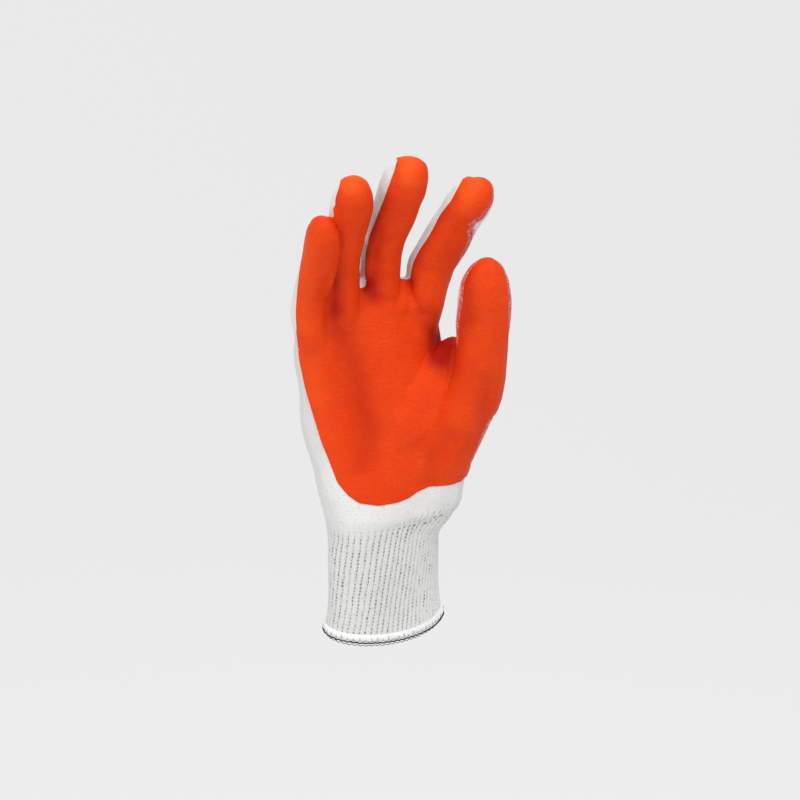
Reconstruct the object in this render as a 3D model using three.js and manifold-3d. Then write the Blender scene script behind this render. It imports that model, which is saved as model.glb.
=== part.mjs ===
// A right-hand work glove, seamless string knit with a latex film on the palm side,
// in the shape that it holds on a relaxed hand. Lengths are in millimetres and angles in degrees.
// +Z runs from the wrist opening to the fingertips, the palm faces -Y and the thumb is on +X.
// The origin is the centre of the wrist opening.
import * as THREE from "three";
import Module from "manifold-3d";

const wasm = await Module();
wasm.setup();

// Walls and clearances
const KNIT_WALL = 1.7; // string knit of the hand
const CUFF_WALL = 1.5; // rib knit between its grooves
const LATEX_WALL = 1.1; // latex film
const CLEARANCE = 0.3; // kept between any two pieces

// Rib-knit cuff, on a forearm that leans back from the palm
const CUFF_LENGTH = 53; // from the middle of the wrist opening up the forearm
const CUFF_WIDTH = 66; // over the ribs
const CUFF_DEPTH = 38;
const CUFF_TURN = 25; // the oval is turned on the forearm, little-finger side forward
const FOREARM_LEAN = 14; // forward, up to the hand
const FOREARM_YAW = 15; // turn of that lean towards the little finger
const RIB_COUNT = 58;
const RIB_HEIGHT = 0.8;
const RIB_TWIST = -16; // turn of the ribs from the hem to the hand

// Rolled hem and the black overlock edge under it
const HEM_HEIGHT = 4;
const HEM_THICKNESS = 3.4;
const HEM_FLARE = 2.2; // the cuff widens this much towards the hem
const HEM_DIP = 1.6; // front and back hang this much lower than the sides
const OVERLOCK_HEIGHT = 1.6;
const OVERLOCK_THICKNESS = 2;

// Palm
const PALM_LENGTH = 123; // from the cuff to the webs of the fingers
const PALM_WIDTH = 80;
const PALM_DEPTH = 33;
const WEB_SLANT = 15; // the webs fall towards the little finger

// A finger's girth at shares of its length: half width, palm side and back, as shares of its own
const FINGER_GIRTH = [
  { at: 0.0, wide: 0.94, palm: 0.94, back: 0.94 },
  { at: 0.2, wide: 1.02, palm: 1.0, back: 1.0 },
  { at: 0.36, wide: 0.98, palm: 1.06, back: 0.96 },
  { at: 0.5, wide: 0.96, palm: 0.88, back: 1.04 },
  { at: 0.65, wide: 1.02, palm: 1.04, back: 0.96 },
  { at: 0.77, wide: 1.04, palm: 0.96, back: 0.98 },
  { at: 0.88, wide: 1.04, palm: 1.02, back: 0.9 },
  { at: 1.0, wide: 0.9, palm: 0.9, back: 0.8 },
];
const THUMB_GIRTH = [
  { at: 0.0, wide: 1.15, palm: 1.0, back: 1.0 },
  { at: 0.2, wide: 1.2, palm: 1.15, back: 1.05 },
  { at: 0.42, wide: 1.13, palm: 1.12, back: 1.0 },
  { at: 0.6, wide: 1.03, palm: 1.0, back: 1.0 },
  { at: 0.78, wide: 1.02, palm: 0.94, back: 0.98 },
  { at: 0.9, wide: 1.0, palm: 1.0, back: 0.9 },
  { at: 1.0, wide: 0.88, palm: 0.94, back: 0.84 },
];
const TIP_ROUND = 0.8; // length of the rounded tip, as a share of the finger's width
const TIP_BLUNT = 0.8; // 1 is a round tip, less is a blunter one

// Fingers
const FINGER_LENGTH = 100; // the middle finger, from its joint inside the palm
const FINGER_WIDTH = 20;
const FINGER_DEPTH = 18.5;
const FINGER_START = 16; // how far each finger runs down into the palm

// Each digit's knuckle is its joint inside the palm, as [across, up, forward] from the wrist in
// shares of the palm's width, length and depth. Bones run from it to the tip, and width and
// depth are its own, all as shares of the finger sizes. Curl is each bone's lean towards the
// palm, lean its lean towards the thumb, and turn swings the pad towards the thumb. Film is how
// far in front of the digit's middle the latex ends, on the little-finger and the thumb side.
const DIGITS = [
  { name: "little", knuckle: [-0.48, 0.738, 0.413], bones: [0.337, 0.215, 0.245],
    curl: [20, 34, 36], lean: [-7.8, 1.9, -4.8], turn: 10, width: 0.9, depth: 0.919,
    film: [0.4, 0], girth: FINGER_GIRTH },
  { name: "ring", knuckle: [-0.305, 0.775, 0.443], bones: [0.428, 0.269, 0.259],
    curl: [18, 36, 36], lean: [-7.1, 2.5, -1.4], turn: 12, width: 1, depth: 1,
    film: [0.7, 0], girth: FINGER_GIRTH },
  { name: "middle", knuckle: [-0.076, 0.807, 0.443], bones: [0.454, 0.286, 0.257],
    curl: [16, 34, 36], lean: [-2.7, 7.1, 7.1], turn: 14, width: 1, depth: 1,
    film: [0.9, 0.1], girth: FINGER_GIRTH },
  { name: "index", knuckle: [0.129, 0.779, 0.443], bones: [0.43, 0.266, 0.256],
    curl: [16, 32, 34], lean: [12, 18.9, 19.5], turn: 0, width: 1, depth: 1,
    film: [0.6, 0.1], girth: FINGER_GIRTH },
  { name: "thumb", knuckle: [0.29, 0.222, 0.352], bones: [0.513, 0.371, 0.338],
    curl: [26, 20, 16], lean: [16.7, 3, -2.8], turn: 0, width: 1.15, depth: 1.135,
    film: [0, -0.1], girth: THUMB_GIRTH },
];

// The skin between the thumb and the palm, as rings from inside the palm to inside the thumb,
// placed from the wrist as the knuckles are, with half a height and half a depth of its own
const WEB_SECTIONS = [
  { across: 0.066, up: 0.46, forward: 0.443, high: 0.179, deep: 0.333 },
  { across: 0.216, up: 0.533, forward: 0.534, high: 0.195, deep: 0.303 },
  { across: 0.354, up: 0.606, forward: 0.746, high: 0.179, deep: 0.273 },
  { across: 0.454, up: 0.671, forward: 0.958, high: 0.138, deep: 0.242 },
];

// The palm at shares of its length: centre across and forward in shares of width and depth,
// then half width, palm side and back. Hollow is the depth of the crease down the palm.
const PALM_SECTIONS = [
  { at: 0.0, across: 0.0, forward: 0.0, wide: 0.4, palm: 0.57, back: 0.57, hollow: 0 },
  { at: 0.06, across: 0.01, forward: 0.06, wide: 0.415, palm: 0.62, back: 0.62, hollow: 0 },
  { at: 0.15, across: 0.01, forward: 0.13, wide: 0.445, palm: 0.58, back: 0.56, hollow: 0.01 },
  { at: 0.28, across: -0.03, forward: 0.17, wide: 0.45, palm: 0.55, back: 0.52, hollow: 0.06 },
  { at: 0.42, across: -0.08, forward: 0.22, wide: 0.465, palm: 0.52, back: 0.5, hollow: 0.09 },
  { at: 0.6, across: -0.12, forward: 0.3, wide: 0.475, palm: 0.46, back: 0.5, hollow: 0.08 },
  { at: 0.78, across: -0.16, forward: 0.42, wide: 0.47, palm: 0.38, back: 0.44, hollow: 0.04 },
  { at: 0.9, across: -0.17, forward: 0.52, wide: 0.44, palm: 0.32, back: 0.36, hollow: 0.01 },
  { at: 1.0, across: -0.17, forward: 0.6, wide: 0.42, palm: 0.2, back: 0.22, hollow: 0 },
];
const CREASE_ACROSS = -0.3; // share of the half width, towards the little finger
const CREASE_WIDTH = 0.42;

// The latex film ends along this line on the palm, from the little finger round to the thumb,
// in shares of the palm's width and length from the wrist
const FILM_EDGE = [
  { across: -0.634, up: 0.948 },
  { across: -0.59, up: 0.769 },
  { across: -0.565, up: 0.655 },
  { across: -0.515, up: 0.525 },
  { across: -0.434, up: 0.354 },
  { across: -0.359, up: 0.224 },
  { across: -0.296, up: 0.167 },
  { across: -0.209, up: 0.135 },
  { across: -0.084, up: 0.127 },
  { across: 0.029, up: 0.143 },
  { across: 0.141, up: 0.179 },
  { across: 0.354, up: 0.192 },
  { across: 0.541, up: 0.224 },
  { across: 0.791, up: 0.558 },
  { across: 0.441, up: 1.094 },
];
const FILM_BACK = 8; // the film stays this far in front of the origin at the wrist
const FILM_RISE = 8; // forward tilt of its back limit, up the palm
const FILM_TURN = 4; // turn of its back limit round the thumb side
const FILM_START = 0.2; // share of a finger's length up to which the palm's film covers it

// How finely the walls are faceted
const FINGER_SIDES = 12;
const FINGER_STEP = 10;
const PALM_SIDES = 24;
const PALM_STEP = 11;
const TIP_RINGS = 3;

const rad = THREE.MathUtils.degToRad;
const UP = new THREE.Vector3(0, 0, 1);
const ACROSS = new THREE.Vector3(1, 0, 0);
const FRONT = new THREE.Vector3(0, -1, 0);

// A value read between the rows of a table, on a smooth curve through them
function between(rows, column, at) {
  const last = rows.length - 1;
  if (at <= rows[0].at) return rows[0][column];
  if (at >= rows[last].at) return rows[last][column];
  const i = rows.findIndex((row) => row.at > at) - 1;
  const t = (at - rows[i].at) / (rows[i + 1].at - rows[i].at);
  const slope = (k) => {
    const low = Math.max(k - 1, 0);
    const high = Math.min(k + 1, last);
    return (rows[high][column] - rows[low][column]) / (rows[high].at - rows[low].at);
  };
  const span = rows[i + 1].at - rows[i].at;
  const t2 = t * t;
  const t3 = t2 * t;
  return (
    (2 * t3 - 3 * t2 + 1) * rows[i][column] +
    (t3 - 2 * t2 + t) * span * slope(i) +
    (3 * t2 - 2 * t3) * rows[i + 1][column] +
    (t3 - t2) * span * slope(i + 1)
  );
}

// A ring of points round a centre: an oval with its own reach to the palm side and to the back
function ovalRing({ centre, side, front, wide, palm, back, sides, power = 2.3 }) {
  const ring = [];
  for (let i = 0; i < sides; i++) {
    const angle = (2 * Math.PI * i) / sides;
    const c = Math.cos(angle);
    const s = Math.sin(angle);
    const x = wide * Math.sign(c) * Math.abs(c) ** (2 / power);
    const y = (s > 0 ? palm : back) * Math.sign(s) * Math.abs(s) ** (2 / power);
    ring.push(centre.clone().addScaledVector(side, x).addScaledVector(front, y));
  }
  return ring;
}

// The closed skin through a row of rings, with a flat fan over each end
function skinGeometry(rings) {
  const sides = rings[0].length;
  const middle = (ring) =>
    ring.reduce((sum, p) => sum.add(p), new THREE.Vector3()).divideScalar(sides);
  const points = [...rings.flat(), middle(rings[0]), middle(rings.at(-1))];
  const bottom = points.length - 2;
  const top = points.length - 1;
  const index = [];
  for (let r = 0; r + 1 < rings.length; r++)
    for (let i = 0; i < sides; i++) {
      const j = (i + 1) % sides;
      const low = r * sides;
      const high = low + sides;
      index.push(low + i, low + j, high + j, low + i, high + j, high + i);
    }
  for (let i = 0; i < sides; i++) {
    const j = (i + 1) % sides;
    const high = (rings.length - 1) * sides;
    index.push(bottom, j, i, top, high + i, high + j);
  }
  return new THREE.BufferGeometry().setFromPoints(points).setIndex(index);
}

// A solid for joining and cutting, from a closed geometry whose vertices are shared
function solidOf(geometry) {
  const make = (triVerts) =>
    new wasm.Manifold(
      new wasm.Mesh({
        numProp: 3,
        vertProperties: new Float32Array(geometry.getAttribute("position").array),
        triVerts,
      }),
    );
  const faces = new Uint32Array(geometry.index.array);
  const made = make(faces);
  if (made.volume() > 0) return made;
  for (let i = 0; i < faces.length; i += 3) [faces[i], faces[i + 1]] = [faces[i + 1], faces[i]];
  return make(faces);
}

const skin = (rings) => solidOf(skinGeometry(rings));
const joined = (solids) => solids.reduce((all, solid) => all.add(solid));

// The forearm's own directions: the cuff leans back below the wrist
const FOREARM = UP.clone().applyAxisAngle(ACROSS, rad(FOREARM_LEAN));
FOREARM.applyAxisAngle(UP, rad(-FOREARM_YAW));
const FOREARM_SIDE = ACROSS.clone().applyAxisAngle(FOREARM, rad(CUFF_TURN));
const FOREARM_FRONT = new THREE.Vector3().crossVectors(FOREARM_SIDE, FOREARM);
const WRIST = FOREARM.clone().multiplyScalar(CUFF_LENGTH);

// A point of the hand, in shares of the palm's width, length and depth from the wrist
const fromWrist = (across, up, forward) =>
  WRIST.clone()
    .addScaledVector(ACROSS, across * PALM_WIDTH)
    .addScaledVector(UP, up * PALM_LENGTH)
    .addScaledVector(FRONT, forward * PALM_DEPTH);

// The centre line of a finger, from inside the palm to the tip
function fingerLine(digit) {
  const joint = fromWrist(...digit.knuckle);
  const direction = (bone) => {
    const curl = rad(digit.curl[bone]);
    const lean = rad(digit.lean[bone]);
    return new THREE.Vector3(
      Math.cos(curl) * Math.sin(lean),
      -Math.sin(curl),
      Math.cos(curl) * Math.cos(lean),
    );
  };
  const points = [joint.clone().addScaledVector(direction(0), -FINGER_START), joint.clone()];
  for (let bone = 0; bone < digit.bones.length; bone++) {
    joint.addScaledVector(direction(bone), digit.bones[bone] * FINGER_LENGTH);
    points.push(joint.clone());
  }
  return new THREE.CatmullRomCurve3(points, false, "centripetal");
}

// The stations of a finger from its start to its rounded tip, each with its own directions
function fingerStations(digit, step) {
  const line = fingerLine(digit);
  const length = line.getLength();
  const round = TIP_ROUND * digit.width * FINGER_WIDTH;
  const straight = Math.round((length - round) / step);
  const stations = [];
  for (let i = 0; i <= straight; i++) {
    stations.push({ at: (i / straight) * (length - round), shrink: 1, push: 0 });
  }
  for (let i = 1; i <= TIP_RINGS; i++) {
    const angle = (i / (TIP_RINGS + 0.35)) * (Math.PI / 2);
    const at = length - round + round * Math.sin(angle);
    stations.push({ at, shrink: Math.cos(angle) ** TIP_BLUNT, push: Math.sin(angle) });
  }
  return stations.map((station) => {
    const share = station.at / length;
    const along = line.getTangentAt(share);
    const side = ACROSS.clone().addScaledVector(along, -ACROSS.dot(along)).normalize();
    const front = new THREE.Vector3().crossVectors(side, along);
    return { ...station, share, length, along, side, front, centre: line.getPointAt(share) };
  });
}

// The rings of a finger, grown by an offset
function fingerRings(digit, offset, sides = FINGER_SIDES, step = FINGER_STEP) {
  return fingerStations(digit, step).map((station) => {
    const { share, along, shrink, push } = station;
    const grown = (column, size) =>
      ((between(digit.girth, column, share) * size) / 2 + offset) * shrink;
    return ovalRing({
      centre: station.centre.clone().addScaledVector(along, offset * push),
      side: station.side.clone().applyAxisAngle(along, rad(-digit.turn)),
      front: station.front.clone().applyAxisAngle(along, rad(-digit.turn)),
      wide: grown("wide", digit.width * FINGER_WIDTH),
      palm: grown("palm", digit.depth * FINGER_DEPTH),
      back: grown("back", digit.depth * FINGER_DEPTH),
      sides,
    });
  });
}

// The rings of the palm, grown by an offset
function palmRings(offset, sides = PALM_SIDES, step = PALM_STEP, below = 0) {
  const count = Math.round(PALM_LENGTH / step);
  const rings = [];
  for (let i = 0; i <= count; i++) {
    const at = i / count;
    const turned = Math.max(0, 1 - at * 2.5);
    const along = UP.clone().lerp(FOREARM, turned).normalize();
    const side = ACROSS.clone().applyAxisAngle(along, rad(CUFF_TURN * turned));
    const front = new THREE.Vector3().crossVectors(side, along);
    side.applyAxisAngle(front, rad(WEB_SLANT * at * at));
    const column = (name) => between(PALM_SECTIONS, name, at);
    const centre = fromWrist(column("across"), at, column("forward"));
    if (i === 0) centre.addScaledVector(FOREARM, -below);
    if (i === count) centre.addScaledVector(along, offset);
    const wide = column("wide") * PALM_WIDTH + offset;
    const ring = ovalRing({
      centre,
      side,
      front,
      wide,
      palm: column("palm") * PALM_DEPTH + offset,
      back: column("back") * PALM_DEPTH + offset,
      sides,
    });
    for (const point of ring) {
      const reach = point.clone().sub(centre);
      const beside = (reach.dot(side) / wide - CREASE_ACROSS) / CREASE_WIDTH;
      const depth = column("hollow") * PALM_DEPTH * Math.exp(-beside * beside);
      if (reach.dot(front) > 0) point.addScaledVector(front, -depth);
    }
    rings.push(ring);
  }
  return rings;
}

// The rings of the skin between the thumb and the palm
function webRings(offset, sides = FINGER_SIDES) {
  return WEB_SECTIONS.map(({ across, up, forward, high, deep }, i) =>
    ovalRing({
      centre: fromWrist(across, up, forward).addScaledVector(ACROSS, i > 0 ? offset : -offset),
      side: UP,
      front: new THREE.Vector3(-0.5, -1, 0).normalize(),
      wide: high * PALM_LENGTH + offset,
      palm: deep * PALM_DEPTH + offset,
      back: deep * PALM_DEPTH + offset,
      sides,
    }),
  );
}

// The whole hand form, grown by an offset
function handForm(offset, detail = {}) {
  const { palmSides, palmStep, fingerSides, fingerStep, below } = detail;
  return joined([
    skin(palmRings(offset, palmSides, palmStep, below)),
    skin(webRings(offset, fingerSides)),
    ...DIGITS.map((digit) => skin(fingerRings(digit, offset, fingerSides, fingerStep))),
  ]);
}

function knitHand() {
  const inside = handForm(-KNIT_WALL, {
    palmSides: 20,
    palmStep: 18,
    fingerSides: 10,
    fingerStep: 14,
    below: 5,
  });
  return handForm(0).subtract(inside);
}

// The space in front of the palm that the film covers
function palmFilmSpace() {
  const far = PALM_DEPTH * 4;
  const edge = FILM_EDGE.map(({ across, up }) => fromWrist(across, up, 0));
  const back = ({ x, z }) => FILM_BACK + z * Math.tan(rad(FILM_RISE)) - x * Math.tan(rad(FILM_TURN));
  const ring = (forward) =>
    edge.map((point) => new THREE.Vector3(point.x, -forward(point), point.z));
  return skin([ring(back), ring(() => far)]);
}

// The space on a finger's palm side that the film covers, with the whole fingertip
function fingerFilmSpace(digit) {
  const film = CLEARANCE + LATEX_WALL + 0.5;
  const halfDepth = (digit.depth * FINGER_DEPTH) / 2;
  const wide = ((digit.width * FINGER_WIDTH) / 2) * 1.2 + film;
  const deep = halfDepth * 1.2 + film;
  const [littleSide, thumbSide] = digit.film.map((share) => share * halfDepth);
  const covered = fingerStations(digit, FINGER_STEP).filter(({ share }) => share > FILM_START);
  return skin(
    covered.map(({ centre, side, front, push, along }) => {
      const cap = push > 0.6;
      const corner = (x, y) =>
        centre
          .clone()
          .addScaledVector(side, x)
          .addScaledVector(front, y)
          .addScaledVector(along, push > 0.9 ? 4 : 0);
      return [
        corner(wide, cap ? -deep : thumbSide),
        corner(wide, deep),
        corner(-wide, deep),
        corner(-wide, cap ? -deep : littleSide),
      ];
    }),
  );
}

// The film over one solid form of the hand, inside the space that it covers there
const filmOn = (form, space) =>
  form(CLEARANCE + LATEX_WALL).subtract(handForm(CLEARANCE)).intersect(space);

function latexFilm() {
  const fingers = DIGITS.map((digit) =>
    filmOn((offset) => skin(fingerRings(digit, offset)), fingerFilmSpace(digit)),
  );
  return joined([filmOn(handForm, palmFilmSpace()), ...fingers]);
}

// A point of the cuff's oval: angle round it, height up the forearm and offset outwards
function cuffPoint(angle, height, out) {
  const across = (CUFF_WIDTH / 2 + out) * Math.cos(angle);
  const forward = (CUFF_DEPTH / 2 + out) * Math.sin(angle);
  return FOREARM.clone()
    .multiplyScalar(height)
    .addScaledVector(FOREARM_SIDE, across)
    .addScaledVector(FOREARM_FRONT, forward);
}

// The hem's level round the cuff
const hemLevel = (angle) => HEM_DIP * (0.5 - Math.sin(angle) ** 2);

// How far the cuff stands out at a share of its height
const flare = (share) => HEM_FLARE * Math.max(0, 1 - share * 2.2) ** 2;

function ribCuff() {
  const low = HEM_HEIGHT + CLEARANCE;
  const high = CUFF_LENGTH - CLEARANCE;
  const ring = (share, profile, sides) => {
    const points = [];
    for (let i = 0; i < sides; i++) {
      const angle = (2 * Math.PI * i) / sides + rad(RIB_TWIST) * share;
      const height = THREE.MathUtils.lerp(low + hemLevel(angle), high, share);
      points.push(cuffPoint(angle, height, flare(share) + profile(i)));
    }
    return points;
  };
  const shares = [0, 0.3, 1];
  const ribbed = (i) => (i % 2 === 0 ? -RIB_HEIGHT : 0);
  const outer = skin(shares.map((share) => ring(share, ribbed, RIB_COUNT * 2)));
  const bore = (share) => ring(share, () => -RIB_HEIGHT - CUFF_WALL, RIB_COUNT / 2);
  const inner = shares.map(bore);
  inner[0].forEach((point) => point.addScaledVector(FOREARM, -5));
  inner.at(-1).forEach((point) => point.addScaledVector(FOREARM, 5));
  return outer.subtract(skin(inner));
}

// A band swept round the wrist opening, with an oval section
function band({ low, high, thick, out, stations = 38, sides = 8 }) {
  const rings = [];
  for (let i = 0; i < stations; i++) {
    const angle = (2 * Math.PI * i) / stations;
    const ring = [];
    for (let k = 0; k < sides; k++) {
      const turn = (2 * Math.PI * k) / sides;
      const height = (low + high) / 2 + ((high - low) / 2) * Math.sin(turn);
      const offset = out + (thick / 2) * Math.cos(turn);
      ring.push(cuffPoint(angle, hemLevel(angle) + height, offset));
    }
    rings.push(ring);
  }
  const index = [];
  for (let i = 0; i < stations; i++)
    for (let k = 0; k < sides; k++) {
      const here = i * sides;
      const next = ((i + 1) % stations) * sides;
      const l = (k + 1) % sides;
      index.push(here + k, next + k, next + l, here + k, next + l, here + l);
    }
  return solidOf(new THREE.BufferGeometry().setFromPoints(rings.flat()).setIndex(index));
}

const cuffHem = () =>
  band({ low: 0, high: HEM_HEIGHT, thick: HEM_THICKNESS, out: HEM_FLARE - CUFF_WALL / 2 });

const overlockEdge = () =>
  band({
    low: -CLEARANCE - OVERLOCK_HEIGHT,
    high: -CLEARANCE,
    thick: OVERLOCK_THICKNESS,
    out: HEM_FLARE - CUFF_WALL / 2,
    sides: 6,
  });

// Turns a solid into a mesh of the group
function meshOf(name, solid, material) {
  const { vertProperties, triVerts } = solid.getMesh();
  const geometry = new THREE.BufferGeometry();
  geometry.setAttribute("position", new THREE.BufferAttribute(vertProperties, 3));
  geometry.setIndex(new THREE.BufferAttribute(triVerts, 1));
  geometry.computeVertexNormals();
  const mesh = new THREE.Mesh(geometry, material);
  mesh.name = name;
  return mesh;
}

const matte = (color, roughness) =>
  new THREE.MeshStandardMaterial({ color, roughness, metalness: 0 });

const whiteKnit = matte(0xeeeeea, 0.95);
const whiteYarn = matte(0xf4f4f0, 0.9);
const blackThread = matte(0x1c1c1e, 0.8);
const orangeLatex = matte(0xee4a1a, 0.55);

const glove = new THREE.Group();
glove.add(meshOf("knit_hand", knitHand(), whiteKnit));
glove.add(meshOf("rib_cuff", ribCuff(), whiteKnit));
glove.add(meshOf("cuff_hem", cuffHem(), whiteYarn));
glove.add(meshOf("overlock_edge", overlockEdge(), blackThread));
glove.add(meshOf("latex_palm", latexFilm(), orangeLatex));

export default glove;
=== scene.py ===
# %% [markdown]
# # A latex coated grip glove
# The glove is a seamless tube of white string knit, dipped so that orange latex covers the
# palm, the finger pads and the fingertips. It is shown in the shape that a relaxed hand gives
# it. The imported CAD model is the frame: it fixes where each piece is and how big it is, and
# every piece here is a finer, softer version of one of its solids.

import math

import bmesh
import bpy
import numpy as np
from mathutils import Matrix, Vector, kdtree
from mathutils.bvhtree import BVHTree


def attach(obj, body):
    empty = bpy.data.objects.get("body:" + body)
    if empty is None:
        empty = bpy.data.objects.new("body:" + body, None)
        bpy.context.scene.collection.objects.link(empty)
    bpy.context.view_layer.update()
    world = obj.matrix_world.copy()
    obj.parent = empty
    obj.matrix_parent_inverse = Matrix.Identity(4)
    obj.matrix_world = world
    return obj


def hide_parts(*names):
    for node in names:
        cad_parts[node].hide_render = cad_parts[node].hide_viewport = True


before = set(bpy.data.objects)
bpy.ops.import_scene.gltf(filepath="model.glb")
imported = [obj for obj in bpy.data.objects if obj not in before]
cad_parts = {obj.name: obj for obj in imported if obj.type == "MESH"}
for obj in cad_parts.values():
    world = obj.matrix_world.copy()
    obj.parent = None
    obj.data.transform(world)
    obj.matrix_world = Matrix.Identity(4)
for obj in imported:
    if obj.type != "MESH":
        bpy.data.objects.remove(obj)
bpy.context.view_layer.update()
MM = 0.001
print("nodes:", sorted(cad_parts))

# %% [markdown]
# The camera comes first, because the folds are later placed as it sees them. It stands a
# little to the little-finger side of the palm and a little above it, 1.1 m away, with a long
# lens, so the hand is hardly foreshortened.

# %% Camera
TARGET = Vector((2.66, -22, 117.68)) * MM
AZIMUTH, ELEVATION, DISTANCE = math.radians(-15), math.radians(8), 1.1
PICTURE_WIDTH = 0.4

level = math.cos(ELEVATION)
back = Vector(
    (math.sin(AZIMUTH) * level, -math.cos(AZIMUTH) * level, math.sin(ELEVATION))
)
camera = bpy.data.objects.new("camera", bpy.data.cameras.new("camera"))
bpy.context.scene.collection.objects.link(camera)
camera.data.sensor_width = 36
camera.data.lens = 36 * DISTANCE / PICTURE_WIDTH
camera.location = TARGET + back * DISTANCE
camera.rotation_mode = "QUATERNION"
camera.rotation_quaternion = (-back).to_track_quat("-Z", "Y")
camera.data.clip_end = 20
bpy.context.scene.camera = camera
right = Vector((-back.y, back.x, 0)).normalized()
above = back.cross(right)
print("lens", round(camera.data.lens), "mm")

# %% [markdown]
# A pale floor runs back into a curved wall, as in a small studio, so that no horizon shows.
# A grid is bent for it: flat in front, then a quarter turn, then upright. It lies well below
# the glove, which is held up at its wrist and casts no shadow that the camera sees. Its paint
# glows a little, as a wall does that has its own lamps, so it is evenly bright all over.

# %% Floor and wall
FLOOR = -0.3
sweep = bmesh.new()
bmesh.ops.create_grid(sweep, x_segments=8, y_segments=64, size=4)
for vert in sweep.verts:
    far = vert.co.y - 1.5
    if far > 0:
        turn = min(far, math.pi / 2)
        vert.co.y = 1.5 + math.sin(turn)
        vert.co.z = 1 - math.cos(turn) + far - turn
    vert.co.z += FLOOR
floor = bpy.data.objects.new("studio_floor", bpy.data.meshes.new("studio_floor"))
sweep.to_mesh(floor.data)
sweep.free()
bpy.context.scene.collection.objects.link(floor)
for face in floor.data.polygons:
    face.use_smooth = True
studio_paint = bpy.data.materials.new("studio_white")
studio_paint.use_nodes = True
paint_surface = studio_paint.node_tree.nodes["Principled BSDF"]
paint_surface.inputs["Base Color"].default_value = (0.2, 0.2, 0.2, 1)
paint_surface.inputs["Roughness"].default_value = 1
paint_surface.inputs["Specular IOR Level"].default_value = 0
paint_surface.inputs["Emission Color"].default_value = (1, 1, 1, 1)
paint_surface.inputs["Emission Strength"].default_value = 0.67
floor.data.materials.append(studio_paint)
print("floor at", FLOOR)

# %% [markdown]
# The light is as soft as a white room: the sky itself is nearly as bright as the floor, and
# three large lamps only model the form. The key lamp stands high on the right of the camera,
# a weaker one on the left, and one behind lifts the edges.


# %% Lights
def lamp(name, azimuth, elevation, distance, size, watts):
    """A square soft lamp that looks at the glove from an angle round it."""
    a, e = math.radians(azimuth), math.radians(elevation)
    away = Vector(
        (math.sin(a) * math.cos(e), -math.cos(a) * math.cos(e), math.sin(e))
    )
    light = bpy.data.lights.new(name, "AREA")
    light.size, light.energy = size, watts
    made = bpy.data.objects.new(name, light)
    made.location = TARGET + away * distance
    made.rotation_euler = away.to_track_quat("Z", "Y").to_euler()
    bpy.context.scene.collection.objects.link(made)
    return made


lamp("key", 4, 52, 1.6, 0.8, 15)
lamp("fill", -65, 12, 1.8, 1.2, 8)
lamp("rim", 165, 50, 1.8, 1.0, 5)
world = bpy.data.worlds.new("studio")
world.use_nodes = True
world.node_tree.nodes["Background"].inputs["Color"].default_value = (1, 1, 1, 1)
world.node_tree.nodes["Background"].inputs["Strength"].default_value = 0.5
bpy.context.scene.world = world
bpy.context.scene.view_settings.view_transform = "Standard"

# %% [markdown]
# The forearm has its own directions, because the cuff leans back and its oval is turned.
# Angles round the cuff, heights up it and offsets outwards are turned into points by one
# function, which the ribs, the hem and the black thread all use.

# %% Forearm
CUFF_ACROSS, CUFF_DEEP, CUFF_TOP = 33, 19, 53  # half the oval's axes, and its upper end, in mm
LEAN, YAW, OVAL_TURN = 14, -15, 25  # degrees
HEM_DIP = 1.6  # mm
FLARE, FLARE_TOP = 2.2, 23  # mm, how much the cuff widens, and from where down
forearm = Vector((0, 0, 1))
forearm.rotate(Matrix.Rotation(math.radians(LEAN), 3, "X"))
forearm.rotate(Matrix.Rotation(math.radians(YAW), 3, "Z"))
forearm_side = Vector((1, 0, 0))
forearm_side.rotate(Matrix.Rotation(math.radians(OVAL_TURN), 3, forearm))
forearm_front = forearm_side.cross(forearm)
mouth_way = (forearm - forearm_side * forearm_side.dot(forearm)).normalized()


def cuff_point(angle, height, out):
    """A point of the cuff in metres, from an angle in radians and lengths in mm."""
    point = forearm * height
    point += forearm_side * ((CUFF_ACROSS + out) * math.cos(angle))
    point += forearm_front * ((CUFF_DEEP + out) * math.sin(angle))
    return point * MM


def hem_level(angle):
    """The hem hangs lower in front and at the back than at the sides."""
    return HEM_DIP * (0.5 - math.sin(angle) ** 2)


def flare(height):
    """The cuff widens to the hem, in mm."""
    return FLARE * max(0.0, 1 - height / FLARE_TOP) ** 2


print("forearm leans", round(math.degrees(forearm.angle(Vector((0, 0, 1)))), 1))

# %% [markdown]
# Small helpers serve every soft piece: they make objects, remesh closed forms, read and write
# places, find what is nearest, and even things out. The evening moves each vertex towards its
# neighbours and then partly back, so the facets of the frame's solids go and the fingers don't
# get thinner.


# %% Helpers for soft forms
def object_of(name, mesh):
    """A new object at the origin, shaded smooth."""
    if isinstance(mesh, bmesh.types.BMesh):
        made = bpy.data.meshes.new(name)
        mesh.to_mesh(made)
        mesh.free()
        mesh = made
    mesh.name = name
    for face in mesh.polygons:
        face.use_smooth = True
    obj = bpy.data.objects.new(name, mesh)
    bpy.context.scene.collection.objects.link(obj)
    return obj


def mesh_of(obj):
    """The finished mesh of an object that isn't needed any more."""
    finished = obj.evaluated_get(bpy.context.evaluated_depsgraph_get())
    mesh = bpy.data.meshes.new_from_object(finished)
    bpy.data.objects.remove(obj)
    return mesh


def remeshed(form, voxel):
    """The closed form as an even mesh of small quads."""
    obj = object_of("form", form)
    modifier = obj.modifiers.new("voxels", "REMESH")
    modifier.mode = "VOXEL"
    modifier.voxel_size = voxel
    return mesh_of(obj)


def places(mesh):
    """The vertices of a mesh as rows of x, y, z."""
    flat = np.zeros(len(mesh.vertices) * 3)
    mesh.vertices.foreach_get("co", flat)
    return flat.reshape(-1, 3)


def place(mesh, points):
    """Puts the vertices of a mesh where the rows say."""
    mesh.vertices.foreach_set("co", np.ascontiguousarray(points).ravel())
    mesh.update()


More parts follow.
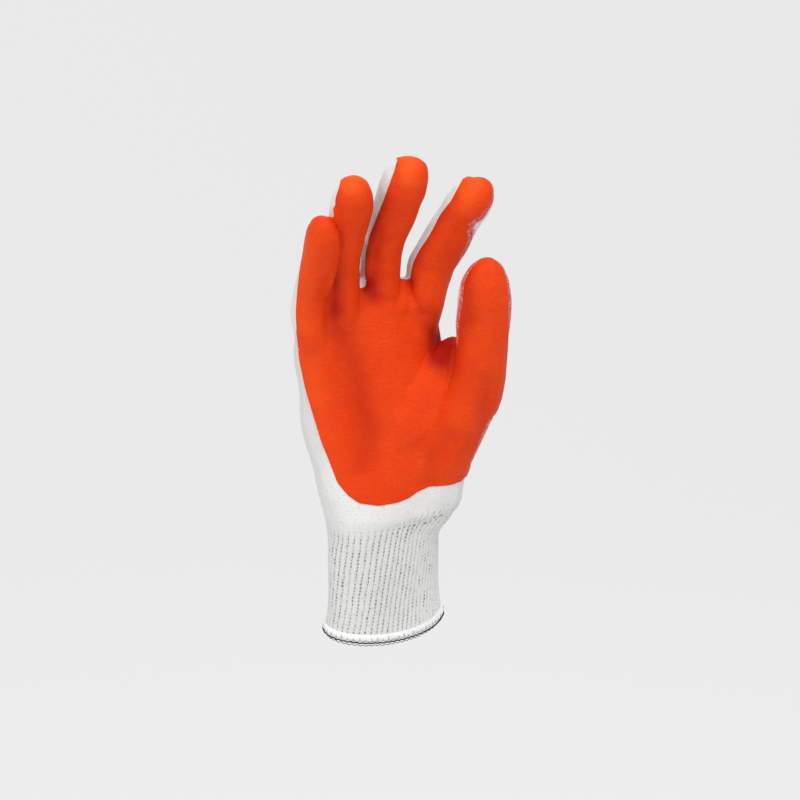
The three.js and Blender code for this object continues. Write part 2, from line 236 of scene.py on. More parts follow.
def normals(mesh):
    """The outward direction at each vertex."""
    flat = np.zeros(len(mesh.vertices) * 3)
    mesh.vertex_normals.foreach_get("vector", flat)
    return flat.reshape(-1, 3)


def spreader(mesh):
    """A function that gives each vertex the mean of its neighbours' values."""
    pairs = np.zeros(len(mesh.edges) * 2, int)
    mesh.edges.foreach_get("vertices", pairs)
    a, b = pairs.reshape(-1, 2).T
    count = len(mesh.vertices)
    near = np.maximum(np.bincount(a, minlength=count) + np.bincount(b, minlength=count), 1)

    def mean(values):
        columns = values.reshape(count, -1).T
        total = [
            np.bincount(a, column[b], count) + np.bincount(b, column[a], count)
            for column in columns
        ]
        return (np.array(total) / near).T.reshape(values.shape)

    return mean


def evened(mesh, times, keep=0.98):
    """Smooths the mesh, and gives back the share keep of what each step shrinks."""
    mean = spreader(mesh)
    points = places(mesh)
    for _ in range(times):
        points = points + 0.6 * (mean(points) - points)
        points = points - 0.6 * keep * (mean(points) - points)
    place(mesh, points)


def seen(mesh):
    """Where the camera sees each vertex, in mm right of and above the picture's middle."""
    away = places(mesh) - np.array(TARGET)
    return away @ np.array(right) / MM, away @ np.array(above) / MM


def softened(mesh, values, times):
    """Values evened over a mesh."""
    mean = spreader(mesh)
    for _ in range(times):
        values = mean(values)
    return values


def tree_of(mesh):
    """A search tree over the faces of a mesh."""
    return BVHTree.FromPolygons(
        [vert.co for vert in mesh.vertices], [face.vertices for face in mesh.polygons]
    )


def finder(spots):
    """A search tree over points."""
    tree = kdtree.KDTree(len(spots))
    for i, spot in enumerate(spots):
        tree.insert(spot, i)
    tree.balance()
    return tree


def patches(mesh):
    """The vertices of a bmesh, in sets that hang together."""
    left, found = set(mesh.verts), []
    while left:
        patch = {left.pop()}
        front_line = set(patch)
        while front_line:
            step = {e.other_vert(v) for v in front_line for e in v.link_edges}
            front_line = step - patch
            patch |= front_line
        left -= patch
        found.append(patch)
    return found


def to_segment(across, up, start, end):
    """How far each point of the picture is from a straight piece of line."""
    (x0, y0), (x1, y1) = start, end
    dx, dy = x1 - x0, y1 - y0
    t = np.clip(((across - x0) * dx + (up - y0) * dy) / (dx * dx + dy * dy), 0, 1)
    return np.hypot(across - x0 - t * dx, up - y0 - t * dy)


def ease(low, high, values):
    """0 below low, 1 above high, and a smooth step between."""
    t = np.clip((values - low) / (high - low), 0, 1)
    return t * t * (3 - 2 * t)


print("helpers ready")

# %% [markdown]
# The knit hand is one hollow skin in the frame. Its wrist end is cut open here, so the outer
# and the inner skin come apart. Each is drawn out down the forearm and closed, so that the
# voxel remesh has a closed form and the later cut across the wrist is clean.

# %% Outer and inner skin of the hand
CUT = 75  # the hand takes over from the cuff at this height, in mm
DRAWN = 14  # mm down the forearm


def skins(node):
    """The outer and the inner skin of a node that is a shell, each drawn out below the wrist."""
    whole = bmesh.new()
    whole.from_mesh(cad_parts[node].data)
    bmesh.ops.remove_doubles(whole, verts=whole.verts, dist=1e-6)
    whole.normal_update()
    rim = [
        face
        for face in whole.faces
        if abs((face.calc_center_median() - forearm * CUFF_TOP * MM).dot(mouth_way)) < 0.1 * MM
        and face.normal.dot(mouth_way) < -0.95
    ]
    bmesh.ops.delete(whole, geom=rim, context="FACES")
    ends = [edge for edge in whole.edges if edge.is_boundary]
    drawn = bmesh.ops.extrude_edge_only(whole, edges=ends)["geom"]
    low = [part for part in drawn if isinstance(part, bmesh.types.BMVert)]
    bmesh.ops.translate(whole, verts=low, vec=forearm * (-DRAWN * MM))
    ends = [edge for edge in whole.edges if edge.is_boundary]
    bmesh.ops.holes_fill(whole, edges=ends, sides=0)
    bmesh.ops.triangulate(whole, faces=whole.faces)
    parts = []
    for found in patches(whole):
        part = whole.copy()
        keep = {v.index for v in found}
        part.verts.ensure_lookup_table()
        gone = [v for v in part.verts if v.index not in keep]
        bmesh.ops.delete(part, geom=gone, context="VERTS")
        bmesh.ops.recalc_face_normals(part, faces=part.faces)
        parts.append(part)
    whole.free()
    parts.sort(key=lambda part: -part.calc_volume())
    return parts


outer_form, inner_form = skins("knit_hand")[:2]
print("outer", len(outer_form.faces), "inner", len(inner_form.faces), "faces")

# %% Even meshes of both skins
film_side = remeshed(outer_form.copy(), 0.9 * MM)
evened(film_side, 30)
hand_skin = remeshed(outer_form, 1.15 * MM)
evened(hand_skin, 20)
lining_skin = remeshed(inner_form, 2.4 * MM)
evened(lining_skin, 6)
print("quads:", len(film_side.polygons), len(hand_skin.polygons), len(lining_skin.polygons))

# %% [markdown]
# The knit runs along each finger and round it, so its pattern needs a map that follows the
# digits. The same joints as in the frame's fingers give each digit a centre line. Round it,
# the map counts wales, a whole number to a turn so that no seam shows, and along it courses.
# The palm and the cuff share one map with 145 wales, five to two ribs.

# %% Centre lines of the digits
WALES, COURSE = 145, 1.2  # wales round the palm, and mm to a course
ROOT = 16  # mm, how far inside the palm a digit's line begins
DIGITS = [
    # name, knuckle, bones, curl, lean, radius, start of the tube, wales
    ("little", (-41.7, 142.2, 26), (33.7, 21.5, 24.5), (20, 34, 36), (-7.8, 1.9, -4.8), 9, 32, 40),
    ("ring", (-27.7, 146.8, 27), (42.8, 26.9, 25.9), (18, 36, 36), (-7.1, 2.5, -1.4), 10, 34, 44),
    ("middle", (-9.4, 150.7, 27), (45.4, 28.6, 25.7), (16, 34, 36), (-2.7, 7.1, 7.1), 10, 34, 44),
    ("index", (7, 147.3, 27), (43, 26.6, 25.6), (16, 32, 34), (12, 18.9, 19.5), 10, 36, 44),
    ("thumb", (19.9, 78.7, 24), (51.3, 37.1, 33.8), (26, 20, 16), (16.7, 3, -2.8), 12, 62, 54),
]
PALM = len(DIGITS)  # the palm's number, after those of the digits


def centre_line(knuckle, bones, curl, lean):
    """Points, directions and lengths along a digit, from inside the palm to the tip."""
    x, up, forward = knuckle
    joint = np.array([x, -forward, up], float)
    steps = [
        np.array(
            [
                math.cos(math.radians(c)) * math.sin(math.radians(s)),
                -math.sin(math.radians(c)),
                math.cos(math.radians(c)) * math.cos(math.radians(s)),
            ]
        )
        for c, s in zip(curl, lean)
    ]
    joints = [joint - steps[0] * ROOT, joint]
    for step, bone in zip(steps, bones):
        joints.append(joints[-1] + step * bone)
    reach = np.concatenate([[0], np.cumsum([ROOT, *bones])])
    along = np.linspace(0, reach[-1], 60)
    line = np.array([np.interp(along, reach, [j[i] for j in joints]) for i in range(3)]).T
    for _ in range(12):
        line[1:-1] = (line[:-2] + line[2:]) / 2
    way = np.gradient(line, axis=0)
    way /= np.linalg.norm(way, axis=1)[:, None]
    return line, way, along


def digit_map(points, digit):
    """Each point's wale, course and distance from the line in radii."""
    knuckle, bones, curl, lean, radius, start, wales = digit[1:]
    line, way, along = centre_line(knuckle, bones, curl, lean)
    near = np.argmin(((points[:, None] - line[None]) ** 2).sum(2), axis=1)
    arm = points - line[near]
    ahead = way[near]
    run = (arm * ahead).sum(1)
    side = np.array([1.0, 0, 0]) - ahead * ahead[:, :1]
    side /= np.linalg.norm(side, axis=1)[:, None]
    front = np.cross(side, ahead)
    x, y = (arm * side).sum(1), (arm * front).sum(1)
    turn = np.arctan2(x, y) / (2 * math.pi)
    course = (along[near] + np.clip(run, -3, 20)) / COURSE
    gap = np.linalg.norm(arm - ahead * np.clip(run, -3, 3)[:, None], axis=1) / radius
    gap[along[near] < start] = 9
    return turn * wales, course, gap


print("digits:", [digit[0] for digit in DIGITS])

# %% Map of the palm
PALM_ACROSS, PALM_DEEP = 36, 17  # mm, half the axes of an oval like the palm's


def oval(half_across, half_deep):
    """Angles round an oval, and how far round it each one is, in mm."""
    angles = np.linspace(0, 2 * math.pi, 721)
    steps = np.hypot(half_across * np.diff(np.cos(angles)), half_deep * np.diff(np.sin(angles)))
    return angles, np.concatenate([[0], np.cumsum(steps)])


oval_t, oval_arc = oval(PALM_ACROSS, PALM_DEEP)
oval_arc /= oval_arc[-1]
slices = np.arange(48, 180, 6.0)
hand_points = places(hand_skin) / MM
rows = [hand_points[abs(hand_points[:, 2] - z) < 2] for z in slices]
rows = [row[row[:, 0] < 42 - 0.25 * z] if z > 76 else row for z, row in zip(slices, rows)]
middle_x = [(row[:, 0].min() + row[:, 0].max()) / 2 for row in rows]
middle_y = [(row[:, 1].min() + row[:, 1].max()) / 2 for row in rows]


def palm_map(points):
    """Each point's wale and course on the palm and the back of the hand."""
    x = points[:, 0] - np.interp(points[:, 2], slices, middle_x)
    y = np.interp(points[:, 2], slices, middle_y) - points[:, 1]
    angle = np.arctan2(y / PALM_DEEP, x / PALM_ACROSS) % (2 * math.pi)
    return np.interp(angle, oval_t, oval_arc) * WALES, points[:, 2] / COURSE


def knit_map(mesh, wale, course, piece):
    """Lays the map of wales and courses on the mesh, face by face, each on its own piece."""
    corners = np.zeros(len(mesh.loops), int)
    mesh.loops.foreach_get("vertex_index", corners)
    starts = np.zeros(len(mesh.polygons), int)
    mesh.polygons.foreach_get("loop_start", starts)
    sizes = np.zeros(len(mesh.polygons), int)
    mesh.polygons.foreach_get("loop_total", sizes)
    face_piece = piece[corners[starts]]
    loop_piece = np.repeat(face_piece, sizes)
    turns = np.array([digit[7] for digit in DIGITS] + [WALES])[loop_piece]
    u = wale[loop_piece, corners]
    first = np.repeat(u[starts], sizes)
    u = u - turns * np.round((u - first) / turns)
    v = course[loop_piece, corners]
    layer = mesh.uv_layers.new(name="knit")
    layer.data.foreach_set("uv", np.stack([u, v], 1).ravel())


def all_maps(points):
    """The maps of every digit and the palm, and which one each point belongs to."""
    made = [digit_map(points, digit) for digit in DIGITS]
    palm_wale, palm_course = palm_map(points)
    gaps = np.array([m[2] for m in made])
    piece = np.where(gaps.min(0) < 1.5, gaps.argmin(0), PALM)
    wale = np.array([m[0] for m in made] + [palm_wale])
    course = np.array([m[1] for m in made] + [palm_course])
    return wale, course, piece


print("vertices on each piece:", np.bincount(all_maps(hand_points)[2]))

# %% [markdown]
# The latex covers what the frame's film covers. Each point of the fine surface is asked how
# far it is from that solid, and small holes and drops are evened out.

# %% Where the film ends
film = bmesh.new()
film.from_mesh(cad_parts["latex_palm"].data)
bmesh.ops.remove_doubles(film, verts=film.verts, dist=1e-6)
film_tree = BVHTree.FromBMesh(film)
film.free()
LIFTS = (0.95, 0.2)  # mm above the skin, where it is asked for
SMALLEST_HOLE, SMALLEST_DROP = 1500, 500  # vertices


def beyond_film(mesh):
    """How far outside the frame's film each vertex is, in mm, and less than 0 in it."""
    ways = normals(mesh)
    nearest = np.full(len(mesh.vertices), 4.0)
    for lift in LIFTS:
        for i, point in enumerate(places(mesh) + ways * lift * MM):
            spot = Vector(point)
            place_on, way, _, gap = film_tree.find_nearest(spot)
            inside = (spot - place_on).dot(way) < 0
            nearest[i] = min(nearest[i], max(-0.6, (-gap if inside else gap) / MM))
    mean = spreader(mesh)
    for _ in range(4):
        nearest = mean(nearest)
    return nearest


film_beyond = beyond_film(film_side) - 0.2
pairs = np.zeros(len(film_side.edges) * 2, int)
film_side.edges.foreach_get("vertices", pairs)
a, b = pairs.reshape(-1, 2).T


def patch_sizes(chosen):
    """How many of the chosen vertices hang together with each one."""
    label = np.arange(len(chosen))
    both = chosen[a] & chosen[b]
    while True:
        lower = label.copy()
        np.minimum.at(lower, a[both], label[b[both]])
        np.minimum.at(lower, b[both], label[a[both]])
        lower = lower[lower]
        if (lower == label).all():
            return np.where(chosen, np.bincount(label, minlength=len(label))[label], 0)
        label = lower


bare = film_beyond > 0
holes = bare & (patch_sizes(bare) < SMALLEST_HOLE)
film_beyond[holes] = -0.3
drops = ~bare & (patch_sizes(~bare) < SMALLEST_DROP)
film_beyond[drops] = 0.3
print("holes filled:", int(holes.sum()), "drops left out:", int(drops.sum()))

# %% [markdown]
# A worn glove isn't as even as the frame's tubes. A few soft nudges, as with a sculptor's grab
# brush, give the fingers and the palm their uneven outline. Each is given as the camera sees
# the palm, in mm right of and above the middle of the picture. The back of the hand takes them
# more softly than the front.

# %% Nudges
NUDGES = [
    # piece or -1 for any, right, up, reach, move right, move up
    (0, -49.5, 76, 14, 2.8, 0),
    (0, -46, 92, 6, 1.6, -0.3),
    (-1, -55, 41.5, 7, -2.8, 0),
    (-1, -53, 6, 13, 2.4, 0),
    (1, -14, 77, 11, -1.6, 0),
    (1, -15.5, 111, 5, 1.6, 0.3),
    (1, -24, 114, 8, 0, 0.8),
    (2, 14, 112, 9, 4.2, 0.4),
    (2, 5, 122, 8, 0, 0.9),
    (2, -6, 116, 6, -3.2, 0),
    (2, 10, 98, 7, 1.8, 0),
    (2, 5, 86, 7, 1.6, 0),
    (3, 46, 107, 9, 3.6, 1.0),
    (3, 43, 92, 9, 2.2, 0),
    (3, 32, 70, 10, 2.2, 0),
    (3, 7, 69, 9, -3.4, 0),
    (3, 15, 84, 7, -1.4, 0),
    (4, 29.5, 57, 12, -2.5, 0),
    (4, 27, 38, 10, -2.8, 0),
    (4, 42, 73, 11, 0.6, 2.6),
    (4, 56, 42, 16, 1.3, 0),
    (-1, 50, 5, 16, 1.4, 0),
    (4, 52, 64, 7, 1.2, 0),
    (-1, 21.5, 27, 9, 0, 2.4),
    (3, 20, 38, 9, 1.4, 0),
    (-1, 26, -52, 10, 5.2, 0),
    (-1, 21, -63, 8, 3.2, 0),
    (-1, -39, -48, 12, -1.3, 0),
]


def nudged(mesh):
    """Moves the surface across the camera's view at each nudge."""
    piece = all_maps(places(mesh) / MM)[2]
    across, up = seen(mesh)
    shift = np.zeros((len(across), 3))
    for number, x, y, reach, move_right, move_up in NUDGES:
        near = np.exp(-((across - x) ** 2 + (up - y) ** 2) / reach**2)
        near = near * ((piece == number) | (number < 0))
        shift += near[:, None] * (np.array(right) * move_right + np.array(above) * move_up)
    front = ease(-0.4, 0.3, normals(mesh) @ np.array(back))[:, None]
    close = softened(mesh, shift, 14)
    place(mesh, places(mesh) + (softened(mesh, close, 50) * (1 - front) + close * front) * MM)


_, film_course, film_piece = all_maps(places(film_side) / MM)
hand_before = places(hand_skin)
hand_tree = finder(hand_before)
over_lining = [hand_tree.find(point)[1] for point in places(lining_skin)]
for skin in (film_side, hand_skin):
    nudged(skin)
print("nudges:", len(NUDGES))

# %% [markdown]
# Now the edge line itself. On the little side of the fingers and along the bottom it follows a
# few points, again as the camera sees them, with the small hook where the film wraps each
# fingertip. On the thumb side the film stops sooner than in the frame: there the knit is only
# stained and soaked, which is the pinkish rim on the real glove. Everywhere else the line is
# the frame's.

# %% Shapes of the film's edge
BARE = {
    # digit or palm: a closed row of points (right, up) in mm round what is bare
    0: [(-47, 86.9), (-45.8, 86.5), (-46.4, 80), (-47.8, 73), (-49.2, 63), (-50.4, 54),
        (-51.3, 43), (-51.3, 30), (-50, 18), (-46.3, 3), (-70, 3), (-70, 86)],
    1: [(-34, 108.8), (-31.5, 109.6), (-28.3, 110.4), (-29.5, 104.5), (-31.7, 97.5), (-34, 88),
        (-50, 88), (-50, 106)],
    2: [(-7, 118), (-4.2, 118.6), (-0.4, 118.2), (-1.9, 113.9), (-3.9, 107.5), (-8.9, 95.3),
        (-12.5, 87.5), (-16, 79.6), (-18, 72), (-19, 56), (-30, 56), (-30, 112)],
    3: [(31.5, 112), (33.5, 110.4), (29.8, 107.8), (28, 104), (23.2, 95.5), (18.5, 90),
        (13.3, 80.3), (8.3, 73.2), (5.4, 67.4), (3.6, 60), (-6, 60), (-6, 80), (20, 112)],
    PALM: [(-51.3, 48), (-51.3, 30), (-50, 18), (-46.3, 3), (-39.3, -20.5), (-31.4, -41.3),
        (-26, -47.5), (-20.5, -51.5), (-10.5, -53), (-0.7, -51.5), (5.3, -49), (9.2, -46.2),
        (15, -44.5), (25, -43.2), (31, -41.3), (34, -38.2), (44, -58), (-30, -66), (-75, 0),
        (-75, 48)],
}
PALM_EDGE_RADIUS = 14  # mm
ENDS = [
    # piece, up, thumb side at its root and tip, little side at its root and tip, in degrees
    # from the camera's line, and the shares of the length between which the sides change
    (2, 180, 95, 72, 180, 180, 0.4, 0.75),
    (3, 36, 95, 48, 180, 180, 0.25, 0.8),
    (4, 48, 100, 48, 95, 48, 0.45, 0.9),
]


def outside_shape(across, up, corners):
    """The signed distance from a closed row of corners: above 0 inside it."""
    nearest = np.full(len(across), 1e9)
    odd = np.zeros(len(across), bool)
    for start, end in zip(corners, corners[1:] + corners[:1]):
        nearest = np.minimum(nearest, to_segment(across, up, start, end))
        (x0, y0), (x1, y1) = start, end
        if y1 != y0:
            spans = (y0 > up) != (y1 > up)
            odd ^= spans & (across < x0 + (up - y0) / (y1 - y0) * (x1 - x0))
    return np.where(odd, nearest, -nearest)


def end_angles(mesh, course, piece):
    """How far past its end the film would be at each vertex, in mm, on the thumb's side."""
    ways = normals(mesh)
    off = np.degrees(np.arccos(np.clip(ways @ np.array(back), -1, 1)))
    side, up = ways @ np.array(right), ways @ np.array(above)
    flat = np.maximum(side**2 + up**2, 1e-6)
    past = np.full(len(off), -30.0)
    for number, top, out0, out1, in0, in1, low, high in ENDS:
        run = course[number] * COURSE / (ROOT + sum(DIGITS[number][2]))
        tip = ease(low, high, run)
        limit = np.where(side > 0, out0 + (out1 - out0) * tip, in0 + (in1 - in0) * tip)
        upward = np.where(up > 0, up**2 / flat, 0) * ease(0.7, 0.85, run) * ease(-0.6, -0.2, side)
        limit = limit + (top - limit) * upward
        here = np.radians(off - limit) * DIGITS[number][5]
        past = np.where(piece == number, here, past)
    height = places(mesh)[:, 2] / MM
    limit = 85 - 25 * ease(80, 92, height) + 40 * ease(112, 128, height)
    palm = np.where(side > 0.3, np.radians(off - limit) * PALM_EDGE_RADIUS, -30)
    past = np.where(piece == PALM, palm, past)
    return softened(mesh, np.maximum(past, -12), 6)


print("bare strips:", len(BARE), "rims:", len(ENDS))

# %% Signed distance to the edge line
EDGE = 0.9  # mm, how wide the film's rounded edge is
SIDEWAYS = {1: 2.4, 2: 1.4}  # mm further in on these digits, where the film faces sideways
crossing = film_beyond[a] * film_beyond[b] < 0
share = film_beyond[a][crossing] / (film_beyond[a] - film_beyond[b])[crossing]
film_points = places(film_side)
edge_line = film_points[a][crossing] + share[:, None] * (
    film_points[b][crossing] - film_points[a][crossing]
)
near_edge = finder(edge_line)
from_edge = np.array([near_edge.find(point)[2] for point in film_points]) / MM
from_edge = np.where(film_beyond < 0, -from_edge, from_edge)
from_edge = softened(film_side, from_edge, 3)
across, up = seen(film_side)
film_ways = normals(film_side)
little_side = 1 - ease(0.0, 0.4, film_ways @ np.array(right))
facing = ease(-0.1, 0.2, film_ways @ np.array(back))
for number, corners in BARE.items():
    bare_here = outside_shape(across, up, corners) + 0.5
    bare_here += SIDEWAYS.get(number, 0.8) * np.maximum(0, -film_ways @ np.array(right))
    share = facing if number == PALM else little_side * np.where(bare_here < 0, facing, 1)
    share = softened(film_side, (film_piece == number) * share, 3)
    share = share * (1 - ease(3.5, 6.5, -bare_here))
    from_edge = from_edge + (bare_here - from_edge) * share
film_end = end_angles(film_side, film_course, film_piece)
past_edge = np.maximum(from_edge + EDGE, film_end)
film_rim = past_edge - from_edge - EDGE
print("share under the film:", round(float((past_edge < 0).mean()), 2))

# %% [markdown]
# The glove's soft valleys and creases are pressed into the surface along short strokes. Each
# stroke is given as the camera sees the palm, in mm right of and above the middle of the
# picture, with its width and depth, and only what faces the camera moves. A negative depth
# raises a fold instead. The crease beside the thumb's base, too sharp in the frame, is evened
# out first. At the end the lining goes wherever the hand's skin over it went, so the wall keeps
# its thickness.

# %% Folds
FOLDS = [
    # strokes: points (right, up), half width, depth
    ([(-33.5, 55), (-34, 40), (-29, 19), (-22, 1), (-19, -22), (-19.5, -35)], 5.0, 1.6),
    ([(-24, 30), (-19, 0), (-14, -15)], 9.0, 1.2),
    ([(23, -20), (16, -31), (14, -41)], 5.0, 1.6),
    ([(21, 26), (22, 16)], 5.0, 0.6),
    ([(19, 29), (10, 36), (3.5, 41)], 3.5, 1.0),
    ([(4.5, 57), (6, 51), (11, 42)], 2.5, 1.3),
    ([(-16, 57), (-13, 51), (-6, 48)], 3.0, 1.3),
    ([(-11.5, 72), (-1.5, 78)], 2.0, 0.4),
    ([(-7, 70), (-5, 65)], 4.0, -0.9),
    ([(-19, 55), (-18, 42)], 2.5, 1.0),
    ([(42, 7), (41, -15)], 5.0, 1.1),
    ([(-44, 7), (-35, -20)], 6.0, -0.9),
    ([(35, 15), (30, -10)], 9.0, -1.0),
    ([(0, 5), (5, -15)], 10.0, -0.9),
]


CREASE = [(28, 26), (31, 8), (24, -12), (15, -33)]


def near_stroke(mesh, stroke, wide):
    """1 on a stroke and less beside it, down to 0."""
    across, up = seen(mesh)
    gaps = [to_segment(across, up, start, end) for start, end in zip(stroke, stroke[1:])]
    return np.exp(-((np.min(gaps, axis=0) / wide) ** 2))


def pressed(mesh):
    """Presses the folds into the side that faces the camera."""
    facing = ease(0.1, 0.6, normals(mesh) @ np.array(back))
    even = (near_stroke(mesh, CREASE, 8) * facing)[:, None]
    points = places(mesh)
    place(mesh, points + (softened(mesh, points, 80) - points) * even)
    depth = sum(near_stroke(mesh, stroke, wide) * deep for stroke, wide, deep in FOLDS)
    place(mesh, places(mesh) - normals(mesh) * (depth * facing)[:, None] * MM)
    return depth


for skin in (hand_skin, film_side):
    fold_depth = pressed(skin)
film_points = places(film_side)
hand_moved = (places(hand_skin) - hand_before)[over_lining]
place(lining_skin, places(lining_skin) + softened(lining_skin, hand_moved, 6))
print("deepest fold", round(float(fold_depth.max()), 2), "mm")

# %% [markdown]
# Between the fingers and in the crook of the thumb little light gets in, and there the film's
# colour gets painted shade, a deep red. How closed in a place is gets measured once on the real
# shape, by rays that go out from it, and is painted on the pieces as shade in their colour. The
# folds add painted shade as well. Short strokes, given like the folds, add painted shade along the
# sides of the fingers and in the valleys of the palm, and painted light on the fingertips, the
# little finger and the heel of the hand.

# %% Painted shade in the hollows, painted light on the tips
GOLDEN = math.pi * (3 - math.sqrt(5))
RAY_COUNT, RAY_LENGTH, ASKED_EVERY = 48, 45, 4
RAYS = [
    Vector((math.cos(GOLDEN * k) * flat, math.sin(GOLDEN * k) * flat, high))
    for k in range(RAY_COUNT)
    for high in [1 - (2 * k + 1) / RAY_COUNT]
    for flat in [math.sqrt(1 - high * high)]
]
skin_tree = tree_of(hand_skin)
asked = list(hand_skin.vertices)[::ASKED_EVERY]
closed_in = finder([vert.co for vert in asked])
hollows = []
for vert in asked:
    start = vert.co + vert.normal * MM
    open_to, total = 0.0, 0.0
    for ray in RAYS:
        straight = ray.dot(vert.normal)
        if straight > 0.15:
            total += straight
            if skin_tree.ray_cast(start, ray, RAY_LENGTH * MM)[0] is None:
                open_to += straight
    hollows.append(1 - open_to / total)


def hollow_at(mesh, times):
    """How closed in each vertex is, from 0 to 1, for the painted shade."""
    found = [hollows[closed_in.find(vert.co)[1]] for vert in mesh.vertices]
    return softened(mesh, np.array(found), times)


PAINTED_SHADE_AND_LIGHT = [
    # digit or -1: points (right, up), half width, how much darker as painted shade, or lighter as
    # painted light below 0
    (1, [(-31, 92), (-30, 45)], 4.5, 0.5),
    (2, [(-6, 108), (-10, 85), (-12, 60)], 4.5, 0.45),
    (-1, [(-15, 55), (-13, 50)], 5.0, 0.6),
    (3, [(22, 95), (11, 78), (5, 57)], 5.0, 0.5),
    (4, [(32, 68), (33, 38)], 5.0, 0.5),
    (-1, [(22, 28), (19, 22)], 7.0, 0.75),
    (-1, [(13, 44), (20, 30), (26, 14)], 7.0, 0.35),
    (-1, [(-34, 42), (-22, 21), (-17, -3), (-14, -16), (-16, -31)], 7.0, 0.3),
    (-1, [(15, -20), (15, -41)], 5.5, 0.2),
    (-1, [(41, 2), (40, -20)], 6.0, 0.25),
    (1, [(-22, 108), (-23, 100)], 6.0, -0.35),
    (2, [(5, 116), (3, 106)], 6.0, -0.35),
    (3, [(36, 104), (31, 94)], 6.0, -0.3),
    (0, [(-46, 78), (-46, 35)], 8.0, -0.2),
    (-1, [(-44, 20), (-40, 0)], 8.0, -0.15),
]
# Painted shade from the rays and the folds, and more painted shade and painted light along the
# strokes.
film_hollow = 0.7 * ease(0.3, 0.9, hollow_at(film_side, 8)) + 0.06 * fold_depth
for number, stroke, wide, painted_amount in PAINTED_SHADE_AND_LIGHT:
    here = (film_piece == number) | (number < 0)
    film_hollow += softened(film_side, near_stroke(film_side, stroke, wide) * here, 6) * painted_amount
print("most closed in:", round(max(hollows), 2), "deepest:", round(float(film_hollow.max()), 2))

# %% [markdown]
# The coat itself is cut out of the fine surface along that line. Every wire that crosses the
# line is split where it crosses, and the new points are joined across each face, so the edge
# is clean and not a staircase. The region is then drawn out into a closed shell, and its side
# wall is rounded over like the edge of a real dipped film.

# %% Cut the coat
FILM, THIN = 1.15, 0.75  # mm above the knit, on the palm and at its edge

coat = bmesh.new()
coat.from_mesh(film_side)
bmesh.ops.triangulate(coat, faces=coat.faces)
level_layer = coat.verts.layers.float.new("level")
way_layer = coat.verts.layers.float_vector.new("way")
# Each vertex carries its painted shade and light into the coat.
hollow_layer = coat.verts.layers.float.new("hollow")
for vert, value in zip(coat.verts, film_hollow):
    vert[hollow_layer] = value
for vert, value, way in zip(coat.verts, past_edge, normals(film_side)):
    vert[level_layer] = value if abs(value) > 0.06 else math.copysign(0.06, value)
    vert[way_layer] = way
for edge in list(coat.edges):
    start, end = edge.verts
    p, q = start[level_layer], end[level_layer]
    if p * q < 0:
        way = start[way_layer].lerp(end[way_layer], p / (p - q))
        _, new = bmesh.utils.edge_split(edge, start, p / (p - q))
        new[level_layer] = 0
        new[way_layer] = way
for face in list(coat.faces):
    new = [vert for vert in face.verts if vert[level_layer] == 0]
    if len(new) == 2:
        bmesh.utils.face_split(face, new[0], new[1])
gone = [face for face in coat.faces if max(v[level_layer] for v in face.verts) > 0]
bmesh.ops.delete(coat, geom=gone, context="FACES")
print("coat faces:", len(coat.faces))

# %% Keep the one large sheet and even its edge
sheets = sorted(patches(coat), key=len)
bmesh.ops.delete(coat, geom=[v for s in sheets[:-1] for v in s], context="VERTS")
short = [e for e in coat.edges if e.calc_length() < 0.22 * MM]
bmesh.ops.collapse(coat, edges=short)
border = [vert for vert in coat.verts if vert.is_boundary]
for _ in range(4):
    moved = {}
    for vert in border:
        beside = [e.other_vert(vert).co for e in vert.link_edges if e.is_boundary]
        if len(beside) == 2:
            moved[vert] = vert.co.lerp((beside[0] + beside[1]) / 2, 0.5)
    for vert, spot in moved.items():
        vert.co = spot
inner_ring = {
    e.other_vert(v) for v in border for e in v.link_edges if not e.other_vert(v).is_boundary
}
bmesh.ops.smooth_vert(
    coat, verts=list(inner_ring), factor=0.5, use_axis_x=True, use_axis_y=True, use_axis_z=True
)
coat_border = finder([vert.co for vert in border])
print("sheets:", [len(s) for s in sheets][-4:], "border:", len(border))

# %% Draw it out into a shell with a rounded edge
out_layer = coat.verts.layers.float_vector.new("out")
rise_layer = coat.verts.layers.float.new("rise")
for vert in coat.verts:
    vert[way_layer] = Vector(vert[way_layer]).normalized()
    if vert.is_boundary:
        inward = Vector()
        for face in vert.link_faces:
            inward += face.calc_center_median() - vert.co
        beside = [e.other_vert(vert).co for e in vert.link_edges if e.is_boundary]
        along = (beside[0] - beside[-1]).normalized()
        outward = along.cross(vert[way_layer]).normalized()
        if outward.dot(inward) > 0:
            outward = -outward
        vert[out_layer] = outward
top = bmesh.ops.extrude_face_region(coat, geom=list(coat.faces), use_keep_orig=True)["geom"]
top = {part for part in top if isinstance(part, bmesh.types.BMVert)}
for vert in top:
    vert[rise_layer] = 1
bottom = [f for f in coat.faces if not any(v in top for v in f.verts)]
bmesh.ops.reverse_faces(coat, faces=bottom)
upright = [
    e for e in coat.edges if (e.verts[0] in top) != (e.verts[1] in top)
]
bmesh.ops.subdivide_edges(coat, edges=upright, cuts=3, use_grid_fill=True)
coat.normal_update()
for vert in coat.verts:
    rise = vert[rise_layer]
    way = Vector(vert[way_layer]).normalized()
    if rise < 1e-4:
        vert.co += way * (-0.35 * MM) + Vector(vert[out_layer]) * (EDGE * MM)
    else:
        turn = rise * math.pi / 2
        thick = THIN + (FILM - THIN) * float(ease(0, 7, -vert[level_layer]))
        vert.co += way * (thick * math.sin(turn) * MM)
        vert.co += Vector(vert[out_layer]) * (EDGE * math.cos(turn) * MM)
for name in ("level", "rise"):
    coat.verts.layers.float.remove(coat.verts.layers.float[name])
for name in ("way", "out"):
    coat.verts.layers.float_vector.remove(coat.verts.layers.float_vector[name])
latex = object_of("latex_coat", coat)
print("latex triangles:", sum(len(p.vertices) - 2 for p in latex.data.polygons))

